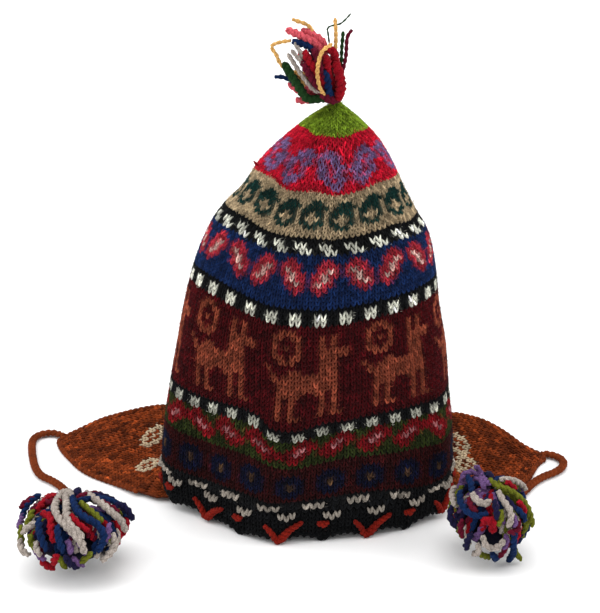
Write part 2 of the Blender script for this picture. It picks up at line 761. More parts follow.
def spun_wall(profile, steps, closed):
    """A profile of (radius, height) points spun right round the Z axis."""
    mesh = bmesh.new()
    points = [mesh.verts.new((0.0, -radius, height)) for radius, height in profile]
    edges = [mesh.edges.new(pair) for pair in zip(points, points[1:])]
    if closed:
        edges.append(mesh.edges.new((points[-1], points[0])))
    bmesh.ops.spin(
        mesh, geom=points + edges, axis=(0.0, 0.0, 1.0), cent=(0.0, 0.0, 0.0),
        steps=steps, angle=math.tau, use_merge=True,
    )
    bmesh.ops.remove_doubles(mesh, verts=mesh.verts, dist=1e-6)
    bmesh.ops.recalc_face_normals(mesh, faces=mesh.faces)
    mesh.verts.ensure_lookup_table()
    return mesh


def unit_places(mesh):
    """The angle, radius and height of each point of a spun wall."""
    places = np.array([vertex.co[:] for vertex in mesh.verts])
    angle = np.degrees(np.arctan2(places[:, 0], -places[:, 1]))
    return angle, np.hypot(places[:, 0], places[:, 1]), places[:, 2]


def move_points(mesh, places):
    """Moves each point of a bmesh to its place."""
    for vertex, place in zip(mesh.verts, places):
        vertex.co = place


# Materials


def wool_group():
    """Fibre, heather and shade of a wool yarn: a varied colour and a height for its bump."""
    found = bpy.data.node_groups.get("wool_fibre")
    if found:
        return found
    group = bpy.data.node_groups.new("wool_fibre", "ShaderNodeTree")
    colour_in = group.interface.new_socket("Colour", in_out="INPUT", socket_type="NodeSocketColor")
    colour_in.default_value = (0.5, 0.5, 0.5, 1.0)
    for name, default in (("Fibre Scale", 1300.0), ("Contrast", 0.6), ("Heather", 0.25)):
        socket = group.interface.new_socket(name, in_out="INPUT", socket_type="NodeSocketFloat")
        socket.default_value = default
    group.interface.new_socket("Colour", in_out="OUTPUT", socket_type="NodeSocketColor")
    group.interface.new_socket("Height", in_out="OUTPUT", socket_type="NodeSocketFloat")
    nodes, links = group.nodes, group.links
    given = nodes.new("NodeGroupInput")
    result = nodes.new("NodeGroupOutput")
    place = nodes.new("ShaderNodeTexCoord")
    fibre = nodes.new("ShaderNodeTexNoise")
    fibre.inputs["Detail"].default_value = 3.0
    fibre.inputs["Roughness"].default_value = 0.65
    links.new(place.outputs["Object"], fibre.inputs["Vector"])
    links.new(given.outputs["Fibre Scale"], fibre.inputs["Scale"])
    heather = nodes.new("ShaderNodeTexNoise")
    heather.inputs["Scale"].default_value = 160.0
    heather.inputs["Detail"].default_value = 2.0
    links.new(place.outputs["Object"], heather.inputs["Vector"])

    def around_one(source, strength):
        centred = nodes.new("ShaderNodeMath")
        centred.operation = "SUBTRACT"
        links.new(source, centred.inputs[0])
        centred.inputs[1].default_value = 0.5
        scaled = nodes.new("ShaderNodeMath")
        scaled.operation = "MULTIPLY_ADD"
        links.new(centred.outputs[0], scaled.inputs[0])
        links.new(strength, scaled.inputs[1])
        scaled.inputs[2].default_value = 1.0
        return scaled.outputs[0]

    fine = around_one(fibre.outputs["Fac"], given.outputs["Contrast"])
    broad = around_one(heather.outputs["Fac"], given.outputs["Heather"])
    both = nodes.new("ShaderNodeMath")
    both.operation = "MULTIPLY"
    links.new(fine, both.inputs[0])
    links.new(broad, both.inputs[1])
    shaded = nodes.new("ShaderNodeVectorMath")
    shaded.operation = "SCALE"
    links.new(given.outputs["Colour"], shaded.inputs[0])
    links.new(both.outputs[0], shaded.inputs["Scale"])
    links.new(shaded.outputs[0], result.inputs["Colour"])
    links.new(fibre.outputs["Fac"], result.inputs["Height"])
    return group


def wool(name, colour=None, contrast=2.8, bump=0.8):
    """A soft wool finish, in one colour or in the colours stored on the mesh."""
    made = bpy.data.materials.new(name)
    made.use_nodes = True
    nodes, links = made.node_tree.nodes, made.node_tree.links
    shader = nodes["Principled BSDF"]
    fibre = nodes.new("ShaderNodeGroup")
    fibre.node_tree = wool_group()
    fibre.inputs["Contrast"].default_value = contrast
    fibre.inputs["Heather"].default_value = 1.0
    if colour is None:
        stored = nodes.new("ShaderNodeAttribute")
        stored.attribute_name = "yarn_colour"
        links.new(stored.outputs["Color"], fibre.inputs["Colour"])
    else:
        fibre.inputs["Colour"].default_value = (*colour, 1.0)
    relief = nodes.new("ShaderNodeBump")
    relief.inputs["Strength"].default_value = bump
    relief.inputs["Distance"].default_value = 0.0005
    links.new(fibre.outputs["Colour"], shader.inputs["Base Color"])
    links.new(fibre.outputs["Height"], relief.inputs["Height"])
    links.new(relief.outputs["Normal"], shader.inputs["Normal"])
    shader.inputs["Roughness"].default_value = 0.95
    shader.inputs["Specular IOR Level"].default_value = 0.06
    shader.inputs["Sheen Weight"].default_value = 0.02
    shader.inputs["Sheen Roughness"].default_value = 0.6
    return made


def shared_wool(name, **settings):
    """The wool finish of this name, made where it isn't there yet."""
    return bpy.data.materials.get(name) or wool(name, **settings)


def yarn_slots(names):
    """One wool finish for each named yarn colour."""
    colours = bpy.context.scene.chullo_colours
    return [shared_wool(name, colour=getattr(colours, name)) for name in names]


# Curves


def smooth_path(points, spacing):
    """Points at even steps along a smooth curve through the given ones."""
    points = np.asarray(points, float)
    padded = np.vstack([2 * points[0] - points[1], points, 2 * points[-1] - points[-2]])
    share = (np.arange(16) / 16.0)[:, None]
    fine = []
    for a, b, c, d in zip(padded, padded[1:], padded[2:], padded[3:]):
        fine.append(
            0.5 * (2 * b + (c - a) * share + (2 * a - 5 * b + 4 * c - d) * share**2
                   + (3 * b - 3 * c + d - a) * share**3)
        )
    fine = np.vstack([*fine, points[-1:]])
    run = lengths_along(fine)
    targets = np.linspace(0.0, run[-1], max(round(run[-1] / spacing), 3) + 1)
    return np.stack([np.interp(targets, run, fine[:, axis]) for axis in range(3)], axis=1)


def side_frames(path, start_side=(0.0, 0.0, 1.0)):
    """Two unit vectors across a path at each of its points, carried along without twist."""
    along = unit(np.gradient(path, axis=0))
    first = np.cross(along[0], start_side)
    if np.linalg.norm(first) < 0.2:
        first = np.cross(along[0], (1.0, 0.0, 0.0))
    sides = [first / np.linalg.norm(first)]
    for way in along[1:]:
        side = sides[-1] - way * np.dot(sides[-1], way)
        sides.append(side / np.linalg.norm(side))
    sides = np.array(sides)
    return sides, np.cross(along, sides)


def strand_mesh(name, strands, materials, sides=1):
    """One mesh of round strands: each is (points, radii, material number)."""
    curve = bpy.data.curves.new(name, "CURVE")
    curve.dimensions = "3D"
    curve.bevel_depth = 1.0
    curve.bevel_resolution = sides
    curve.use_fill_caps = True
    for finish in materials:
        curve.materials.append(finish)
    for points, radii, number in strands:
        spline = curve.splines.new("POLY")
        spline.points.add(len(points) - 1)
        spline.points.foreach_set("co", np.hstack([points, np.ones((len(points), 1))]).ravel())
        spline.points.foreach_set("radius", np.broadcast_to(radii, len(points)).astype(float))
        spline.material_index = number
    holder = bpy.data.objects.new(name, curve)
    bpy.context.scene.collection.objects.link(holder)
    bpy.context.view_layer.update()
    graph = bpy.context.evaluated_depsgraph_get()
    data = bpy.data.meshes.new_from_object(holder.evaluated_get(graph))
    bpy.data.objects.remove(holder, do_unlink=True)
    bpy.data.curves.remove(curve)
    data.name = name
    return data


def twisted(path, radius, number, turns_per_metre=110.0, plies=2):
    """The plies of a twisted yarn along a path, thinner and looser at its cut ends."""
    first, second = side_frames(path)
    run = lengths_along(path)
    radius = np.broadcast_to(radius, len(path))
    taper = 0.75 + 0.25 * np.minimum(1.0, np.minimum(run, run[-1] - run) / (radius.max() * 1.2))
    strands = []
    for ply in range(plies):
        turn = math.tau * (run * turns_per_metre + ply / plies)
        offset = first * np.cos(turn)[:, None] + second * np.sin(turn)[:, None]
        strands.append((path + offset * (radius * 0.46 * taper)[:, None], radius * 0.62 * taper, number))
    return strands


# Pieces


def tie_path(side):
    """The middle line of a tie: straight out of the flap's tip, then along its route."""
    angles, heading, flap_length, rows = FLAPS[side]
    along, across = heading_vectors(heading)
    middle = rim_point(angles[1], 0.0)
    tip = middle + along * flap_length + across * (rows[-1][2] - rows[-1][1]) / 2.0 * FLAP_WIDTH
    lying = np.array([tip[0], tip[1], TIE_DIAMETER / 2])
    route = [along * TIE_START, *map(np.array, TIE_ROUTES[side])]
    path = smooth_path([lying + point for point in route], spacing=0.0009)
    path[:, 2] = np.maximum(path[:, 2], lying[2])
    return np.vstack([lying + along * SEAM_GAP, path])


def heading_vectors(heading):
    """The ways along a flap and across it towards its rear edge, on the table."""
    turn = math.radians(heading)
    along = np.array([math.sin(turn), -math.cos(turn), 0.0])
    across = np.array([-along[1], along[0], 0.0])
    return along, across if across[1] > 0.0 else -across


def rim_point(angle, outset):
    """Points of the crown's rim in the row frame, at the height that the rim stands off the table."""
    point = crown_point(angle, 0.0, outset) + SHIFT
    point[..., 2] = rim_lift(angle)
    return point


class CHULLO_OT_stage(Operator):
    """Set up the table, the soft lights and the camera at the photograph's angle"""

    bl_idname = "chullo.stage"
    bl_label = "Stage"

    def execute(self, context):
        scene = context.scene
        camera = bpy.data.objects.new("camera", bpy.data.cameras.new("camera"))
        scene.collection.objects.link(camera)
        place, target = Vector(CAMERA_PLACE) + Vector(SHIFT), Vector(CAMERA_TARGET) + Vector(SHIFT)
        camera.location = place
        camera.rotation_euler = (target - place).to_track_quat("-Z", "Y").to_euler()
        camera.data.lens = CAMERA_LENS
        camera.data.sensor_width = 36.0
        camera.data.clip_start = 0.05
        camera.data.clip_end = 60.0
        scene.camera = camera

        mesh = bmesh.new()
        bmesh.ops.create_grid(mesh, x_segments=1, y_segments=1, size=FLOOR_HALF_SIZE)
        floor = bpy.data.objects.new("floor", mesh_from(mesh, "floor"))
        scene.collection.objects.link(floor)
        floor.data.materials.append(self.table_finish(scene))

        strength = scene.chullo_sizes.sun_strength
        for name, direction, energy, spread in LIGHTS:
            light = bpy.data.objects.new(name, bpy.data.lights.new(name, "SUN"))
            light.data.energy = energy * strength
            light.data.angle = math.radians(spread)
            light.rotation_euler = Vector(direction).to_track_quat("-Z", "Y").to_euler()
            scene.collection.objects.link(light)
        world = bpy.data.worlds.new("studio")
        world.use_nodes = True
        sky = world.node_tree.nodes["Background"]
        sky.inputs["Color"].default_value = (1.0, 1.0, 1.0, 1.0)
        sky.inputs["Strength"].default_value = WORLD_STRENGTH
        scene.world = world
        scene.view_settings.view_transform = "Standard"
        return {"FINISHED"}

    def table_finish(self, scene):
        """A pale matt table top."""
        made = bpy.data.materials.new("table")
        made.use_nodes = True
        nodes, links = made.node_tree.nodes, made.node_tree.links
        shader = nodes["Principled BSDF"]
        grain = nodes.new("ShaderNodeTexNoise")
        grain.inputs["Scale"].default_value = 40.0
        ramp = nodes.new("ShaderNodeMapRange")
        ramp.inputs["To Min"].default_value = 0.55
        ramp.inputs["To Max"].default_value = 0.65
        place = nodes.new("ShaderNodeTexCoord")
        links.new(place.outputs["Object"], grain.inputs["Vector"])
        links.new(grain.outputs["Fac"], ramp.inputs["Value"])
        links.new(ramp.outputs["Result"], shader.inputs["Roughness"])
        shader.inputs["Base Color"].default_value = (*scene.chullo_colours.floor, 1.0)
        shader.inputs["Specular IOR Level"].default_value = 0.1
        return made


class CHULLO_OT_ties(Operator):
    """Braid the two ties and wind the pompoms on their ends"""

    bl_idname = "chullo.ties"
    bl_label = "Ties and pompoms"

    def execute(self, context):
        chance = np.random.default_rng(11)
        for side, (radii, count) in POMPOMS.items():
            path = tie_path(side)
            braid = self.braid(side, path)
            pompom = make_pompom(side, radii, count, chance)
        return {"FINISHED"}

    def braid(self, side, path):
        """Three strands that pass over and under each other along the tie."""
        sizes = bpy.context.scene.chullo_sizes
        across, _ = side_frames(path)
        run = lengths_along(path)
        strands = []
        for strand in range(3):
            turn = math.tau * (run / sizes.braid_pitch + strand / 3.0)
            offset = across * (np.sin(turn) * BRAID_SPREAD)[:, None]
            offset[:, 2] += np.sin(2.0 * turn) * BRAID_RISE
            strands.append((path + offset, BRAID_STRAND, 0))
        data = strand_mesh("tie_braid_" + side, strands, [])
        colours = bpy.context.scene.chullo_colours
        finish = shared_wool("rust_yarn", colour=colours.rust, contrast=1.8, bump=0.9)
        piece = add_mesh("tie_braid_" + side, data, [finish])
        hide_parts("tie_" + side)
        return piece


# Each pompom's half sizes in metres and number of small yarn ends, and its core's share of its size
POMPOMS = {"left": ((0.0385, 0.034, 0.0255), 85), "right": ((0.031, 0.030, 0.028), 75)}
POMPOM_CORE_SHARE = 0.66

# The pompoms' yarns, their numbers in the table below, and the share of the ends that each takes
POMPOM_YARNS = (
    "yarn_white", "yarn_blue", "yarn_red", "yarn_olive", "yarn_lilac", "yarn_crimson", "yarn_navy",
)
WHITE, BLUE, RED, OLIVE, LILAC, CRIMSON, NAVY = range(7)
POMPOM_SHARES = (0.18, 0.22, 0.16, 0.12, 0.10, 0.08, 0.14)

# The yarn ends that the photograph shows on each pompom: yarn, half thickness in millimetres, then places
# in millimetres right of and above the pompom's middle, as the camera sees them.
POMPOM_FRONTS = {
    "left": (
        (WHITE, 2.7, (-9.6, 23.6), (-10.7, 17.8), (-6.5, 11.6), (-0.3, 6.4), (4.4, 2.2), (8.0, -2.4),
         (9.6, -8.7)),
        (WHITE, 2.7, (-6.5, 23.6), (-3.4, 18.4), (-1.8, 12.1), (1.8, 6.9), (6.0, 3.8), (8.6, 0.2)),
        (BLUE, 2.7, (-1.3, 22.6), (3.4, 15.8), (9.7, 11.6), (16.4, 8.0), (20.6, 2.2), (20.0, -4.0),
         (17.5, -8.2)),
        (OLIVE, 2.4, (4.4, 20.5), (10.1, 17.4), (15.9, 13.7), (20.0, 9.5)),
        (WHITE, 2.6, (5.5, 24.7), (11.2, 22.0), (17.5, 18.4), (24.2, 13.2), (29.5, 8.5), (32.6, 2.2)),
        (NAVY, 2.5, (24.8, 17.4), (29.5, 15.8), (32.6, 11.6), (35.2, 7.5)),
        (CRIMSON, 2.0, (17.5, 21.0), (22.7, 17.4), (27.4, 13.7)),
        (RED, 2.3, (0.3, 13.7), (5.5, 9.0), (12.2, 4.8)),
        (RED, 2.6, (-13.3, 22.6), (-19.0, 20.0), (-23.7, 15.8)),
        (RED, 2.7, (-18.0, 14.2), (-12.2, 12.2), (-11.7, 6.4), (-9.6, -2.0)),
        (BLUE, 2.6, (-19.0, 11.1), (-18.0, 4.3), (-15.4, -2.5), (-13.8, -7.2)),
        (BLUE, 2.4, (-7.0, 8.0), (-6.0, 2.2), (-4.4, -4.0), (-3.0, -8.0)),
        (CRIMSON, 2.4, (-27.9, 22.6), (-32.0, 18.4), (-34.2, 14.2)),
        (BLUE, 2.4, (-22.2, 22.6), (-27.4, 19.0), (-32.0, 14.2), (-34.2, 10.0)),
        (LILAC, 2.2, (-34.2, 14.2), (-35.2, 9.0), (-34.0, 4.0)),
        (OLIVE, 2.4, (-25.8, 14.8), (-27.9, 10.6), (-30.0, 6.0)),
        (OLIVE, 2.4, (-32.0, 5.9), (-33.7, -2.0), (-32.0, -7.0)),
        (WHITE, 2.5, (-21.7, 9.0), (-27.4, 4.3), (-29.5, 1.7)),
        (OLIVE, 2.6, (-24.8, 1.5), (-24.8, -4.0), (-22.0, -7.0)),
        (WHITE, 2.4, (-20.6, -2.0), (-19.0, -7.2), (-17.0, -10.0)),
        (LILAC, 2.4, (-22.5, -7.5), (-19.0, -11.9), (-15.0, -13.0)),
        (RED, 2.6, (-17.0, -13.4), (-13.8, -18.6), (-10.7, -20.2)),
        (RED, 2.6, (-6.5, -9.2), (-9.1, -13.4), (-10.7, -17.0)),
        (LILAC, 2.6, (-0.8, -0.9), (1.3, -5.0), (1.0, -9.0)),
        (OLIVE, 2.4, (13.8, -8.2), (10.2, -12.9), (7.0, -15.5)),
        (NAVY, 2.6, (4.9, -18.6), (0.8, -14.5), (-2.0, -9.5)),
        (LILAC, 2.3, (2.0, -11.9), (5.4, -15.0), (9.0, -17.0)),
        (OLIVE, 2.3, (-2.3, -18.6), (-5.0, -14.5), (-6.0, -11.0)),
        (LILAC, 2.3, (24.2, 8.4), (24.2, 2.2), (22.0, -2.0)),
        (WHITE, 2.6, (25.8, 2.2), (26.9, -4.0), (23.7, -9.2), (19.0, -13.9)),
        (LILAC, 2.4, (6.0, -2.0), (8.6, -5.0), (10.2, -9.2)),
        (WHITE, 2.4, (-33.0, -2.5), (-29.5, -8.2), (-25.0, -11.0)),
    ),
    "right": (
        (OLIVE, 2.3, (-2.1, 24.8), (2.3, 22.0), (10.0, 19.3), (16.7, 14.9), (21.6, 9.4), (23.8, 3.3),
         (25.5, -4.4)),
        (WHITE, 2.3, (2.3, 18.8), (5.0, 12.7), (8.4, 7.7), (8.9, 1.7), (6.7, -2.8)),
        (NAVY, 2.2, (6.7, 15.4), (9.5, 10.5), (12.2, 8.3)),
        (BLUE, 2.2, (12.8, 8.3), (16.7, 4.4), (19.4, 0.0)),
        (RED, 2.4, (13.9, 12.1), (17.8, 8.3), (20.0, 5.0)),
        (RED, 2.4, (7.8, 22.6), (11.7, 21.5), (15.0, 19.3)),
        (BLUE, 2.4, (11.1, -5.7), (11.1, -14.3), (12.3, -21.0), (11.1, -28.2)),
        (OLIVE, 2.0, (13.0, -18.0), (15.0, -22.0), (19.4, -28.0)),
        (LILAC, 2.2, (-19.8, 22.8), (-18.0, 28.2), (-14.2, 29.8), (-9.8, 28.7), (-7.0, 25.4),
         (-6.0, 20.4)),
        (LILAC, 2.0, (-10.9, 33.0), (-8.2, 32.2), (-6.0, 27.3), (-3.0, 22.0)),
        (BLUE, 2.5, (-14.8, 25.4), (-13.1, 21.5), (-14.2, 17.8)),
        (WHITE, 2.6, (-13.7, 17.0), (-10.9, 12.7), (-6.5, 11.0), (-3.0, 13.0)),
        (BLUE, 2.4, (-19.8, 17.1), (-20.3, 11.6), (-17.0, 6.0), (-10.9, 3.9), (-5.4, 6.0)),
        (CRIMSON, 2.2, (-16.4, 14.9), (-14.8, 9.4), (-11.5, 6.6)),
        (RED, 3.3, (-8.3, 0.4), (-4.3, 1.7), (-1.5, -2.2), (-3.2, -6.0)),
        (WHITE, 2.3, (-8.2, -8.3), (-6.5, -13.8), (-2.0, -16.0), (2.9, -13.8), (4.5, -10.5)),
        (NAVY, 2.4, (-15.3, -7.3), (-17.0, -13.8), (-16.4, -18.2)),
        (LILAC, 2.2, (5.8, -8.4), (7.7, -12.7), (5.0, -17.0)),
        (CRIMSON, 2.3, (15.0, 0.0), (14.5, -3.9), (10.6, -6.6), (7.8, -5.0)),
        (CRIMSON, 2.0, (8.8, -12.3), (5.6, -18.8), (3.0, -22.0)),
        (BLUE, 2.4, (-2.1, -19.9), (1.2, -23.2), (2.3, -27.0)),
        (OLIVE, 2.2, (-11.3, -20.0), (-6.0, -24.3), (-1.0, -26.0)),
        (WHITE, 2.2, (-10.9, -13.8), (-9.8, -18.8), (-12.6, -21.5)),
        (WHITE, 2.2, (-22.5, 19.9), (-24.2, 14.9), (-24.0, 9.0)),
        (OLIVE, 2.2, (2.9, 7.7), (3.4, 2.8), (1.0, -2.0)),
        (LILAC, 2.2, (11.1, 5.0), (12.8, 0.6), (11.0, -3.0)),
        (NAVY, 2.2, (-1.0, 13.7), (0.2, 7.0), (0.0, 2.0)),
        (NAVY, 2.3, (-25.7, 8.7), (-26.5, 2.0), (-24.0, -4.0)),
        (CRIMSON, 2.2, (-21.0, 1.0), (-21.5, -5.0), (-19.3, -10.4)),
    ),
}


def facing_point(right, above, radii):
    """The place on an oval ball, about its middle, that the camera sees this far right and above."""
    look = unit(np.array(CAMERA_TARGET) - np.array(CAMERA_PLACE))
    up = np.cross((1.0, 0.0, 0.0), look)
    start = np.array((right, 0.0, 0.0)) + up * above
    a = np.sum((look / radii) ** 2)
    b = np.sum(look * start / radii**2)
    c = np.sum((start / radii) ** 2) - 1.0
    return start + look * (-b - math.sqrt(max(b * b - a * c, 0.0))) / a


def make_pompom(side, radii, count, chance):
    """A pompom of thick twisted yarn ends that fall from its tie all round and curl under."""
    low, high = (np.array(corner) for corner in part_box("pompom_" + side))
    centre = (low + high) / 2.0
    radii = np.array(radii)
    centre[2] = radii[2]
    strands = []
    for yarn, radius, *route in POMPOM_FRONTS[side]:
        radius *= MM
        seen = np.array(route) * MM
        points = np.array([facing_point(right, above, radii - radius) for right, above in seen])
        points *= 1.0 + 0.04 * np.sin(np.linspace(0.0, 2.6, len(points)) + yarn)[:, None]
        path = smooth_path(points + centre, spacing=0.0021)
        path[:, 2] = np.maximum(path[:, 2], radius * 1.1)
        strands += twisted(path, radius, yarn)
    for number in range(count):
        turn = number * GOLDEN_TURN + chance.uniform(-0.3, 0.3)
        seen = math.sin(turn) < 0.25
        start = chance.uniform(0.05, 0.9) if number % 3 else chance.uniform(0.9, 1.6)
        fall = np.linspace(start, start + chance.uniform(0.7, 1.2), 7)
        swing = turn + np.linspace(0.0, chance.uniform(-0.35, 0.35), 7)
        swell = (0.72 if seen else chance.uniform(0.78, 0.97)) * np.linspace(0.97, 1.03, 7)
        points = np.stack([
            np.sin(fall) * np.cos(swing) * radii[0],
            np.sin(fall) * np.sin(swing) * radii[1],
            np.cos(fall) * radii[2],
        ], axis=1) * swell[:, None]
        path = smooth_path(points + centre, spacing=0.0024)
        radius = chance.uniform(0.0021, 0.0027)
        path[:, 2] = np.maximum(path[:, 2], radius * 1.1)
        strands += twisted(path, radius, int(chance.choice(len(POMPOM_YARNS), p=POMPOM_SHARES)))
    data = strand_mesh("pompom_yarn_" + side, strands, yarn_slots(POMPOM_YARNS))
    yarns = add_mesh("pompom_yarn_" + side, data, [])
    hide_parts("pompom_" + side)

    mesh = bmesh.new()
    bmesh.ops.create_icosphere(mesh, subdivisions=3, radius=1.0)
    core_radii = radii * POMPOM_CORE_SHARE
    move_points(mesh, [np.array(vertex.co) * core_radii + centre for vertex in mesh.verts])
    colours = bpy.context.scene.chullo_colours
    core_finish = shared_wool("pompom_core", colour=[part * 0.25 for part in colours.yarn_navy])
    core = add_mesh("pompom_core_" + side, mesh_from(mesh, "pompom_core_" + side), [core_finish])
    return [yarns, core]


class CHULLO_OT_lining(Operator):
    """Lay the crown's backing wall under the stitches, open below"""

    bl_idname = "chullo.lining"
    bl_label = "Crown backing"

    def execute(self, context):
        sizes, colours = context.scene.chullo_sizes, context.scene.chullo_colours
        lowest = (EDGING_HEIGHT + SEAM_GAP) / CROWN_HEIGHT
        levels = np.linspace(BACKING_TOP, lowest, 70)
        outer = [(2.0, level) for level in levels]
        inner = [(1.0, lowest + (level - lowest) * BACKING_INNER_SHARE) for level in levels[::-1]]
        mesh = spun_wall([(0.0, levels[0]), *outer, *inner, (0.0, inner[-1][1])], 120, False)
        angle, radius, level = unit_places(mesh)
        places = knit_point(angle, level, np.where(radius > 1.5, -sizes.lining_inset, -KNIT_WALL))
        axis = radius < 0.5
        places[axis] = row_middle(level[axis])
        move_points(mesh, places)
        shades = np.zeros((len(angle), 3))
        for _, _, low, high, *_, letters in BANDS:
            ground = np.array(getattr(colours, letters["."]))
            shades[(level >= low - 0.002) & (level <= high)] = ground
        shades *= np.where(radius > 1.5, *BACKING_SHADES)[:, None]
        data = mesh_from(mesh, "crown_backing")
        paint(data, shades)
        piece = add_mesh("crown_backing", data, [shared_wool("knit_backing", contrast=2.0, bump=1.0)])
        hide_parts("crown")
        return {"FINISHED"}


class CHULLO_OT_bands(Operator):
    """Knit the crown's bands, stitch by stitch from their charts, with loose fibres over them"""

    bl_idname = "chullo.bands"
    bl_label = "Knitted bands"

    def execute(self, context):
        chance = np.random.default_rng(7)
        sizes = context.scene.chullo_sizes
        slim, thick = stitch_pattern(), stitch_pattern(0.28)
        finish = shared_wool("knit_wool")
        gathered = []
        for band in BANDS:
            name = band[0]
            places, rights, ups, outs, colours = self.stitches(band, chance)
            depth = sizes.stitch_depth
            pattern = thick if name == "dash_band" else slim
            shades = self.leg_shades(pattern, colours, BLEEDS.get(name, COMMON_BLEED), chance)
            add_copies(
                "knit_" + name, "crown_knit", finish, pattern, places, rights, ups, outs * depth, shades
            )
            gathered.append((places, rights, ups, outs, colours))
        joined = [np.vstack(parts) for parts in zip(*gathered)]
        fuzz("fuzz_crown", "crown_knit", chance, sizes.crown_fuzz, *joined)
        return {"FINISHED"}

    def stitches(self, band, chance):
        """Place, axes and colour of each stitch of a band."""
        rows, low, high, first_count, last_count, repeats, turn, chart, letters = band[1:]
        colours = bpy.context.scene.chullo_colours
        depth = bpy.context.scene.chullo_sizes.stitch_depth
        pitch = (high - low) / rows
        found = []
        for row in range(rows):
            level = low + (row + 0.5) * pitch
            share = row / max(rows - 1, 1)
            count = round(first_count + (last_count - first_count) * share)
            middles, edges, shares = stitch_angles(level, count)
            places = knit_point(middles, level, -depth)
            corners = knit_point(edges, level, -depth)
            rights = corners[1:] - corners[:-1]
            above, below = (knit_point(middles, level + side * pitch / 2, -depth) for side in (1, -1))
            ups = above - below
            outs = unit(np.cross(rights, ups))
            line = chart[min(rows - 1 - row, len(chart) - 1)]
            columns = (shares * repeats + turn) * len(line)
            letters_here = [line[int(column % len(line))] for column in columns]
            shades = np.array([getattr(colours, letters[letter]) for letter in letters_here])
            raised = np.array([letter == "w" for letter in letters_here])[:, None]
            places = places + outs * RAISED_LIFT * raised
            outs = outs * np.where(raised, RAISED_SWELL, 1.0)
            found.append((places, rights, ups, outs, shades))
        places, rights, ups, outs, shades = (np.vstack(parts) for parts in zip(*found))
        places = places + rights * chance.uniform(-0.03, 0.03, (len(places), 1))
        outs = outs * chance.uniform(0.9, 1.15, (len(places), 1))
        return places, rights, ups, outs, shades

    def leg_shades(self, pattern, colours, bleed, chance):
        """Colours at each point of each stitch, whose legs take a little of the next stitch's dye."""
        points = pattern[0]
        count = len(colours)
        others = np.stack([np.roll(colours, 1, axis=0), np.roll(colours, -1, axis=0)], axis=1)
        taken = chance.uniform(0.0, bleed, (count, 2, 1))
        legs = colours[:, None, :] * (1.0 - taken) + others * taken
        legs *= np.exp(chance.normal(0.0, 0.33, (count, 2, 1))) * chance.normal(1.0, 0.12, (count, 1, 1))
        side = (points[:, 0] > 0.0).astype(int)
        tucked = 1.0 - 0.42 * np.clip(points[:, 1] - 0.3, 0.0, 1.0)
        return legs[:, side, :] * tucked[None, :, None]


